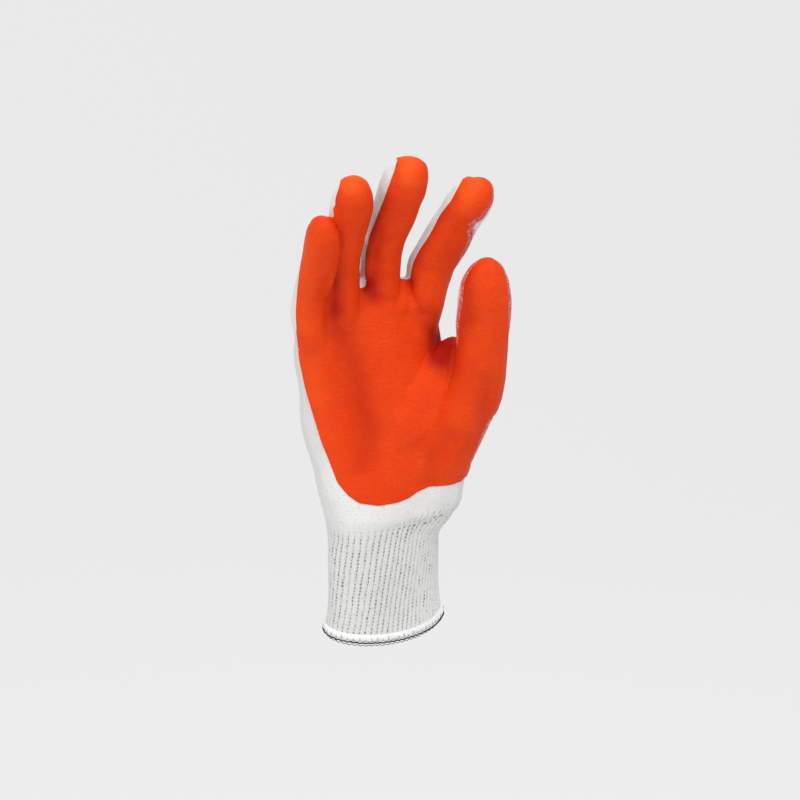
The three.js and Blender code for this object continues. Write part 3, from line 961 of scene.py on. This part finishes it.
# %% [markdown]
# The cuff is knitted as ribs, and each rib is real relief here: a grid is bent round the
# forearm, eight steps to a rib, and pushed in at the grooves. Above the wrist the grid lies on
# the hand's own surface and the ribs fade, later on the thumb side than on the other. Then it
# is joined to the hand, so the knit goes on without a seam, as on the real glove. The bridge
# operator twists where two loops have very different counts, so the joining triangles are laid
# by angle.

# %% Ribs
RIBS, RIB_STEPS, CUFF_ROWS = 58, 8, 72
RIB_DEPTH, GROOVE, RIB_TWIST = 0.85, 0.19, 16  # mm, share of a rib, degrees up to the hand
RIB_TOP, RIB_SLANT, RIB_FADE = 65, 7, 4  # mm: where ribs end, and how much higher at the thumb
HEM_TOP, CUFF_WALL = 3.0, 2.3  # mm
ON_HAND = (44, 56)  # mm up, between which the cuff goes over to the hand's own skin
HALFWAY = 30  # mm up the cuff, between its two ends
cuff_t, cuff_arc = oval(CUFF_ACROSS, CUFF_DEEP)
CUFF_ROUND = cuff_arc[-1]


def angle_at(turn):
    """The angle on the oval where a share of its whole way round is gone."""
    whole = math.floor(turn)
    return 2 * math.pi * whole + float(np.interp((turn - whole) * CUFF_ROUND, cuff_arc, cuff_t))


def on_skin(tree, angle, height):
    """A skin's surface, seen from the forearm's axis."""
    start = cuff_point(angle, height, 0)
    axis = forearm * (height * MM)
    return tree.ray_cast(axis, (start - axis).normalized())[0] or start


def rib_strength(angle, height):
    """1 where the ribs are full and 0 where the knit is plain."""
    top = RIB_TOP + RIB_SLANT * math.cos(angle + math.radians(18))
    return float(1 - ease(top - RIB_FADE, top + RIB_FADE, height))


def rib_depth(wale, strength):
    """How far the surface lies under the rib's crest, in mm."""
    phase = (wale * RIBS / WALES) % 1
    return RIB_DEPTH * strength * math.exp(-((min(phase, 1 - phase) / GROOVE) ** 2))


print(RIBS, "ribs of", round(CUFF_ROUND / RIBS, 1), "mm")


# %% Cuff, outside and inside
def cuff_sheet(steps, rows, out, tree, ribbed):
    """A grid bent round the forearm, with each vertex's wale, course and rib strength."""
    sheet = bmesh.new()
    bmesh.ops.create_grid(sheet, x_segments=steps, y_segments=rows, size=0.5)
    facts = {}
    for vert in sheet.verts:
        turn, share = vert.co.x + 0.5, vert.co.y + 0.5
        angle = angle_at(turn) - math.radians(RIB_TWIST) * share * CUT / CUFF_TOP
        low = HEM_TOP + hem_level(angle)
        height = low + (CUT - low) * share
        strength = rib_strength(angle, height) if ribbed else 0.0
        base = cuff_point(angle, height, flare(height) + out)
        rise = float(ease(*ON_HAND, height))
        if rise > 0:
            base = base.lerp(on_skin(tree, angle, height), rise)
        outward = (base - forearm * (height * MM)).normalized()
        wale = turn * WALES
        vert.co = base - outward * (rib_depth(wale, strength) * MM)
        facts[vert] = (wale, height / COURSE, strength)
    weld = bmesh.ops.find_doubles(sheet, verts=sheet.verts, dist=0.02 * MM)["targetmap"]
    bmesh.ops.weld_verts(sheet, targetmap=weld)
    return sheet, np.array([facts[vert] for vert in sheet.verts])


cuff_outside, outside_facts = cuff_sheet(RIBS * RIB_STEPS, CUFF_ROWS, 0, tree_of(hand_skin), True)
cuff_inside, inside_facts = cuff_sheet(RIBS * 2, 24, -CUFF_WALL, tree_of(lining_skin), False)
print("cuff vertices:", len(outside_facts), "and", len(inside_facts))


# %% Hand above the cut
def above_cut(mesh):
    """The part of a skin above the cut across the wrist."""
    part = bmesh.new()
    part.from_mesh(mesh)
    everything = part.verts[:] + part.edges[:] + part.faces[:]
    bmesh.ops.bisect_plane(
        part,
        geom=everything,
        plane_co=forearm * ((CUT + 1.2) * MM),
        plane_no=mouth_way,
        clear_inner=True,
    )
    border = [vert for vert in part.verts if vert.is_boundary]
    bmesh.ops.remove_doubles(part, verts=border, dist=0.3 * MM)
    return part


knit = bmesh.new()
ends, counts = [], []
for part in (above_cut(hand_skin), cuff_outside, cuff_inside, above_cut(lining_skin)):
    piece = bpy.data.meshes.new("part")
    part.to_mesh(piece)
    part.free()
    before = len(knit.edges)
    knit.from_mesh(piece)
    knit.edges.ensure_lookup_table()
    counts.append(len(piece.vertices))
    ends.append([e for e in knit.edges[before:] if e.is_boundary])
    bpy.data.meshes.remove(piece)
print("vertices:", counts, "open edges:", [len(e) for e in ends])


# %% Join the four parts into one wall
def height_of(edge):
    """How high up the forearm an edge lies."""
    return (edge.verts[0].co + edge.verts[1].co).dot(forearm) / 2


def round_forearm(edges):
    """The vertices of an open loop with their angles round the forearm, in order."""
    found = {}
    for vert in {vert for edge in edges for vert in edge.verts}:
        found[vert] = math.atan2(vert.co.dot(forearm_front), vert.co.dot(forearm_side))
    return sorted(found.items(), key=lambda item: item[1])


def zipped(one, other):
    """Lays triangles between two open loops, always at the loop that is behind."""
    one, other = round_forearm(one), round_forearm(other)
    i = j = 0
    while i < len(one) or j < len(other):
        a, b = one[i % len(one)], other[j % len(other)]
        next_a, next_b = one[(i + 1) % len(one)], other[(j + 1) % len(other)]
        turn_a = next_a[1] + 2 * math.pi * ((i + 1) // len(one))
        turn_b = next_b[1] + 2 * math.pi * ((j + 1) // len(other))
        if j >= len(other) or (i < len(one) and turn_a < turn_b):
            knit.faces.new((a[0], next_a[0], b[0]))
            i += 1
        else:
            knit.faces.new((a[0], next_b[0], b[0]))
            j += 1


top_out = [e for e in ends[1] if height_of(e) > HALFWAY * MM]
low_out = [e for e in ends[1] if height_of(e) <= HALFWAY * MM]
top_in = [e for e in ends[2] if height_of(e) > HALFWAY * MM]
low_in = [e for e in ends[2] if height_of(e) <= HALFWAY * MM]
zipped(ends[0], top_out)
zipped(ends[3], top_in)
zipped(low_out, low_in)
bmesh.ops.recalc_face_normals(knit, faces=knit.faces)
print("edges still open:", sum(not e.is_manifold for e in knit.edges))
glove_knit = object_of("knit_glove", knit)

# %% [markdown]
# The whole wall now gets its map and three painted values. The map of the cuff counts its own ribs,
# and above the ribs it eases into the palm's map, which is turned to meet it. The values are how
# much the knit is ribbed, how far it is soaked with latex beside the film, and how closed in it is,
# which darkens the yarn as painted shade.

# %% Map and painted values of the knit
points = places(glove_knit.data) / MM
wale, course, piece = all_maps(points)
outer = slice(counts[0], counts[0] + counts[1])
palm_wale = wale[-1]
apart = outside_facts[:, 0] - palm_wale[outer]
apart = (apart + WALES / 2) % WALES - WALES / 2
top_row = outside_facts[:, 1] * COURSE > CUT - 2
shift = np.round(np.median(apart[top_row]))
palm_wale += shift
share = ease(57, CUT, outside_facts[:, 1] * COURSE)
apart = outside_facts[:, 0] - palm_wale[outer]
apart = (apart + WALES / 2) % WALES - WALES / 2
palm_wale[outer] = outside_facts[:, 0] - apart * share
course[-1][outer] += (outside_facts[:, 1] - course[-1][outer]) * (1 - share)
piece[counts[0] :] = len(DIGITS)
knit_map(glove_knit.data, wale, course, piece)


def paint(mesh, name, values):
    """Stores one value for each vertex."""
    layer = mesh.attributes.new(name, "FLOAT", "POINT")
    layer.data.foreach_set("value", np.asarray(values, np.float32))


rib = np.zeros(len(points))
rib[outer] = outside_facts[:, 2]
paint(glove_knit.data, "rib", rib)
near_film = finder(film_points)
nearest = [near_film.find(point)[1] for point in places(glove_knit.data)[: counts[0]]]
soak = np.zeros(len(points))
to_thumb = ease(-0.35, 0.1, film_ways @ np.array(right))
to_coat = np.array([coat_border.find(point)[2] for point in film_points]) / MM
soaked_here = (1 - ease(4, 5.5, to_coat)) * ease(0.4, 1.4, film_rim)
soaked_here *= np.where(film_piece == 4, 1, to_thumb)
soak[: counts[0]] = soaked_here[nearest]
paint(glove_knit.data, "soak", soak)
# The knit's painted shade, from how closed in it is.
paint(glove_knit.data, "hollow", hollow_at(glove_knit.data, 4))
print("turned the palm's map by", shift, "wales; soaked:", round(float(soak.mean()), 3))

# %% [markdown]
# The cuff ends in a rolled hem, a soft round band of the same white yarn. A grid is bent into
# a ring again, with a round section, and each stitch of the black thread pulls a small dent
# into it.

# %% Rolled hem
STITCHES = 60
HEM_OUT, HEM_THICK, HEM_HIGH = 1.45, 1.7, 2  # mm: from the cuff's oval, and half its section
STITCH_DENT = 0.12  # mm


def hem_point(turn, section, reach=0.0):
    """A point on the hem: a turn round the cuff and a turn round its section, from 0 to 1."""
    angle, around = angle_at(turn), 2 * math.pi * section
    phase = abs((turn * STITCHES) % 1 - 0.5)
    dent = STITCH_DENT * math.exp(-((phase / 0.16) ** 2)) * (1 - 0.6 * math.sin(around))
    thick = HEM_THICK - dent + reach
    height = HEM_HIGH + (HEM_HIGH - dent + reach) * math.sin(around) + hem_level(angle)
    return cuff_point(angle, height, HEM_OUT + thick * math.cos(around))


hem = bmesh.new()
bmesh.ops.create_grid(hem, x_segments=STITCHES * 8, y_segments=16, size=0.5)
for vert in hem.verts:
    turn, section = vert.co.x + 0.5, vert.co.y + 0.5
    vert.co = hem_point(turn, section)
bmesh.ops.remove_doubles(hem, verts=hem.verts, dist=0.02 * MM)
bmesh.ops.recalc_face_normals(hem, faces=hem.faces)
print("hem edges still open:", sum(not e.is_manifold for e in hem.edges))
rolled_hem = object_of("rolled_hem", hem)

# %% [markdown]
# Under the hem runs a black overlock seam. Its thick thread lies along the lower edge, short
# needle threads climb the outside of the hem at each stitch, and a thin looper thread swings
# below. All three are curves with a round section, turned into one mesh.


# %% Black overlock threads
RING_STEPS = STITCHES * 6


def thread(runs, radius, closed):
    """Round threads along rows of points, as one mesh."""
    curve = bpy.data.curves.new("thread", "CURVE")
    curve.dimensions = "3D"
    curve.bevel_depth = radius * MM
    curve.bevel_resolution = 1
    curve.use_fill_caps = True
    for run in runs:
        spline = curve.splines.new("POLY")
        spline.points.add(len(run) - 1)
        for point, spot in zip(spline.points, run):
            point.co = (*spot, 1)
        spline.use_cyclic_u = closed
    obj = bpy.data.objects.new("thread", curve)
    bpy.context.scene.collection.objects.link(obj)
    return mesh_of(obj)


def ring(height, out, swing, stray):
    """Points round the cuff that swing up and down once a stitch, and stray a little."""
    made = []
    for i in range(RING_STEPS):
        turn = i / RING_STEPS
        wave = math.cos(2 * math.pi * turn * STITCHES)
        wander = math.sin(2 * math.pi * turn * 17) + math.sin(2 * math.pi * turn * 31)
        level_here = height + swing * wave + stray * wander
        angle = angle_at(turn)
        spot = cuff_point(angle, level_here + hem_level(angle), out + stray * wander)
        made.append(spot)
    return made


needle = []
for i in range(STITCHES):
    turn = (i + 0.5) / STITCHES
    lift = 0.02 + 0.05 * math.sin(i * 2.4)
    run = [hem_point(turn, -0.18 + k * (0.2 + lift) / 5, 0.12) for k in range(6)]
    needle.append(run)
black = bmesh.new()
for mesh in (
    thread([ring(-0.05, 2.9, 0.16, 0.09)], 0.36, True),
    thread(needle, 0.08, False),
    thread([ring(-2.1, 1.4, 0.35, 0.12)], 0.17, True),
):
    black.from_mesh(mesh)
    bpy.data.meshes.remove(mesh)
overlock = object_of("overlock_threads", black)
print("overlock faces:", len(overlock.data.polygons))

# %% [markdown]
# The finishes are written as sums. A wire of a shader is wrapped in a small class, so that
# Python's operators lay out the Math nodes, and every other node comes from one method.


# %% Shader wires
class Wire:
    """A value in a shader that Python's operators work on."""

    def __init__(self, finish, socket):
        self.finish, self.socket = finish, socket

    def math(self, operation, *values):
        """A Math node on these values, this wire itself among them."""
        return self.finish.node("ShaderNodeMath", {"operation": operation}, dict(enumerate(values)))

    def __add__(self, other):
        return self.math("ADD", self, other)

    def __sub__(self, other):
        return self.math("SUBTRACT", self, other)

    def __rsub__(self, other):
        return self.math("SUBTRACT", other, self)

    def __mul__(self, other):
        return self.math("MULTIPLY", self, other)

    def __truediv__(self, other):
        return self.math("DIVIDE", self, other)

    def __pow__(self, power):
        return self.math("POWER", self, power)

    def __abs__(self):
        return self.math("ABSOLUTE", self)

    __radd__ = __add__
    __rmul__ = __mul__

    def part(self):
        """What is left after the whole number is taken off."""
        return self.math("FRACT", self)

    def sine(self):
        """The sine of an angle in radians."""
        return self.math("SINE", self)

    def between(self, low, high):
        """0 below low and 1 above high, with a smooth step."""
        return self.finish.node(
            "ShaderNodeMapRange",
            {"interpolation_type": "SMOOTHSTEP"},
            {"Value": self, "From Min": low, "From Max": high},
        )


class Finish:
    """A material and its nodes."""

    def __init__(self, name, **constants):
        self.material = bpy.data.materials.new(name)
        self.material.use_nodes = True
        self.tree = self.material.node_tree
        self.surface = self.tree.nodes["Principled BSDF"]
        for socket, value in constants.items():
            self.surface.inputs[socket.replace("_", " ")].default_value = value

    def node(self, kind, settings=None, values=None, output=0):
        """A node with its settings, its sockets' values or wires, and the output to use."""
        made = self.tree.nodes.new(kind)
        for name, value in (settings or {}).items():
            setattr(made, name, value)
        for name, value in (values or {}).items():
            if isinstance(value, Wire):
                self.tree.links.new(value.socket, made.inputs[name])
            else:
                made.inputs[name].default_value = value
        return Wire(self, made.outputs[output])

    def mix(self, share, one, other):
        """One colour turning into the other."""
        one, other = [c if isinstance(c, Wire) else (*c, 1) for c in (one, other)]
        return self.node("ShaderNodeMix", {"data_type": "RGBA"}, {0: share, 6: one, 7: other}, 2)

    def noise(self, vector, scale, detail=2, distortion=0.0):
        """Cloudy noise between 0 and 1."""
        sizes = {"Scale": scale, "Detail": detail, "Distortion": distortion}
        return self.node("ShaderNodeTexNoise", None, {"Vector": vector, **sizes})

    def stretched(self, vector, scale):
        """Coordinates drawn out by a factor along each axis."""
        return self.node("ShaderNodeMapping", None, {"Vector": vector, "Scale": scale})

    def painted(self, name):
        """A value painted on the piece's vertices."""
        return self.node("ShaderNodeAttribute", {"attribute_name": name}, None, "Fac")

    def place_in_object(self):
        """The piece's own coordinates."""
        return self.node("ShaderNodeTexCoord", None, None, "Object")

    def bump(self, height, distance):
        """Turns a height into a tilt of the surface."""
        values = {"Height": height, "Distance": distance, "Strength": 1.0}
        return self.node("ShaderNodeBump", None, values)

    def feed(self, socket, wire):
        """Leads a wire into the surface."""
        self.tree.links.new(wire.socket, self.surface.inputs[socket])

    def give(self, obj):
        """Puts the material on a piece."""
        obj.data.materials.clear()
        obj.data.materials.append(self.material)


print("shader wires ready")

# %% [markdown]
# The knit's pattern is drawn from its map: inside each wale two legs lean together to a V, one V to
# a course, with a gap between the wales. In the ribbed cuff small dark holes follow the grooves,
# and the grooves themselves are painted darker as shade. Where latex has soaked in, beside the
# film, the yarn is pinkish red. Where the knit is closed in, between the fingers, it is painted
# grey as shade.

# %% Knit finish
string = Finish("white_string_knit", Roughness=0.95, Sheen_Weight=0.15, Sheen_Roughness=0.5)
flat = string.node("ShaderNodeUVMap", {"uv_map": "knit"})
u = string.node("ShaderNodeSeparateXYZ", None, {0: flat}, "X")
v = string.node("ShaderNodeSeparateXYZ", None, {0: flat}, "Y")
spot = string.place_in_object()
ribbed = string.painted("rib")
soaked = string.painted("soak")
arm = abs(u.part() - 0.5)
row = abs((v + arm * 1.1).part() - 0.5) * 2
legs = (arm * (2 * math.pi)).sine()
loops = (1 - row**2 * 0.45) * (0.15 + 0.85 * legs)
waver = (string.noise(spot, 190, 3) - 0.5) * 0.55
from_groove = 0.5 - abs((u * (RIBS / WALES) + waver).part() - 0.5)
groove_shade = (1 - from_groove.between(0.05, 0.28)) * ribbed
hole_up = ((v * (COURSE / 1.9) + waver * 1.4).part() - 0.5) / 0.34
hole = 1 - ((from_groove / 0.13) ** 2 + hole_up**2).between(0.3, 1.1)
patchy = string.noise(spot, 420, 2).between(0.35, 0.6)
hole = hole * ribbed * (0.15 + 0.85 * patchy)
stray = string.noise(spot, 800, 1).between(0.64 - 0.08 * ribbed, 0.72) * (1 - loops)
cloud = string.noise(spot, 45, 2).between(0.3, 0.7)
yarn = string.mix(cloud, (0.89, 0.885, 0.865), (0.94, 0.935, 0.92))
yarn = string.mix((1 - loops) * 0.45, yarn, (0.58, 0.58, 0.56))
# Painted shade in the grooves of the ribs.
yarn = string.mix(groove_shade * 0.25, yarn, (0.50, 0.51, 0.49))
yarn = string.mix(hole * 0.9 + stray * 0.5, yarn, (0.12, 0.12, 0.11))
patches_of_red = string.noise(spot, 420, 2).between(0.4, 0.6)
stain = string.mix(patches_of_red, (0.80, 0.05, 0.03), (0.88, 0.17, 0.17))
stain = string.mix(string.noise(spot, 900, 1).between(0.6, 0.66), stain, (0.95, 0.62, 0.58))
stain = string.mix((1 - loops) * 0.6, stain, (0.50, 0.016, 0.014))
# Painted shade where the knit is closed in.
yarn = string.mix(string.painted("hollow").between(0.3, 0.8) * 0.5, yarn, (0.42, 0.41, 0.39))
string.feed("Base Color", string.mix(soaked, yarn, stain))
string.feed("Normal", string.bump(loops - hole * 0.8, 0.22 * MM))
string.give(glove_knit)
print("knit nodes:", len(string.tree.nodes))

# %% [markdown]
# The hem and the threads are plain yarn: fine twisted strands, drawn with noise that is
# stretched along them.

# %% Hem and thread finishes
hem_yarn = Finish("white_hem_yarn", Roughness=0.9, Sheen_Weight=0.15)
spot = hem_yarn.place_in_object()
strands = hem_yarn.noise(hem_yarn.stretched(spot, (1, 1, 0.35)), 900, 3)
shade = hem_yarn.mix(strands.between(0.3, 0.7), (0.80, 0.80, 0.78), (0.94, 0.94, 0.92))
hem_yarn.feed("Base Color", shade)
hem_yarn.feed("Normal", hem_yarn.bump(strands, 0.25 * MM))
hem_yarn.give(rolled_hem)

thread_yarn = Finish("black_thread", Roughness=0.8, Specular_IOR_Level=0.1)
spot = thread_yarn.place_in_object()
fibres = thread_yarn.noise(spot, 1500, 2)
shade = thread_yarn.mix(fibres.between(0.35, 0.65), (0.003, 0.003, 0.004), (0.016, 0.016, 0.018))
thread_yarn.feed("Base Color", shade)
thread_yarn.feed("Normal", thread_yarn.bump(fibres, 0.1 * MM))
thread_yarn.give(overlock)
print("yarn finishes ready")

# %% [markdown]
# The latex is a satin, deep orange film. Up close its skin is crinkled from the dipping: short
# wrinkles, mostly across the hand, and a few pits. Both are too fine for the mesh, so they are
# bump, and the lines of the wrinkles are also painted darker as shade, while the colour drifts a
# little over larger patches. The painted values darken it to deep red as painted shade in the
# hollows and lighten it as painted light on the tips.

# %% Latex finish
film_finish = Finish("orange_latex_film", Specular_IOR_Level=0.12)
spot = film_finish.place_in_object()
drawn = film_finish.stretched(spot, (0.55, 1, 1.5))
crinkle = film_finish.noise(drawn, 620, 3, 1.2)
wrinkles_and_their_shade = abs(crinkle - 0.5).between(0.0, 0.12)
pits = film_finish.noise(spot, 1300, 1).between(0.62, 0.75)
cloud = film_finish.noise(spot, 38, 3)
orange = film_finish.mix(cloud.between(0.3, 0.7), (0.80, 0.053, 0.003), (0.87, 0.067, 0.0045))
# Painted shade along the lines of the wrinkles.
orange = film_finish.mix((1 - wrinkles_and_their_shade) * 0.3, orange, (0.66, 0.024, 0.001))
# Painted light on the tips below 0, and painted shade in the hollows above it.
hollow = film_finish.painted("hollow")
orange = film_finish.mix(1 - hollow.between(-0.4, 0.0), orange, (0.93, 0.098, 0.009))
orange = film_finish.mix(hollow.between(0.0, 0.9), orange, (0.42, 0.008, 0.001))
film_finish.feed("Base Color", orange)
film_finish.feed("Roughness", 0.42 + cloud * 0.12)
film_finish.feed("Normal", film_finish.bump(wrinkles_and_their_shade - pits * 0.7, 0.07 * MM))
film_finish.give(latex)
print("latex nodes:", len(film_finish.tree.nodes))

# %% [markdown]
# Last, each piece rides on the one body, the frame's solids that it stands for are hidden, and its
# count of triangles is printed.

# %% Hand over
for made, nodes, slot in (
    (glove_knit, ("knit_hand", "rib_cuff"), "white_knit"),
    (rolled_hem, ("cuff_hem",), "white_yarn"),
    (overlock, ("overlock_edge",), "black_thread"),
    (latex, ("latex_palm",), "orange_latex"),
):
    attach(made, "root")
    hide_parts(*nodes)
    made.data.calc_loop_triangles()
    print(made.name, len(made.data.loop_triangles), "triangles")
for mesh in (film_side, hand_skin, lining_skin):
    bpy.data.meshes.remove(mesh)
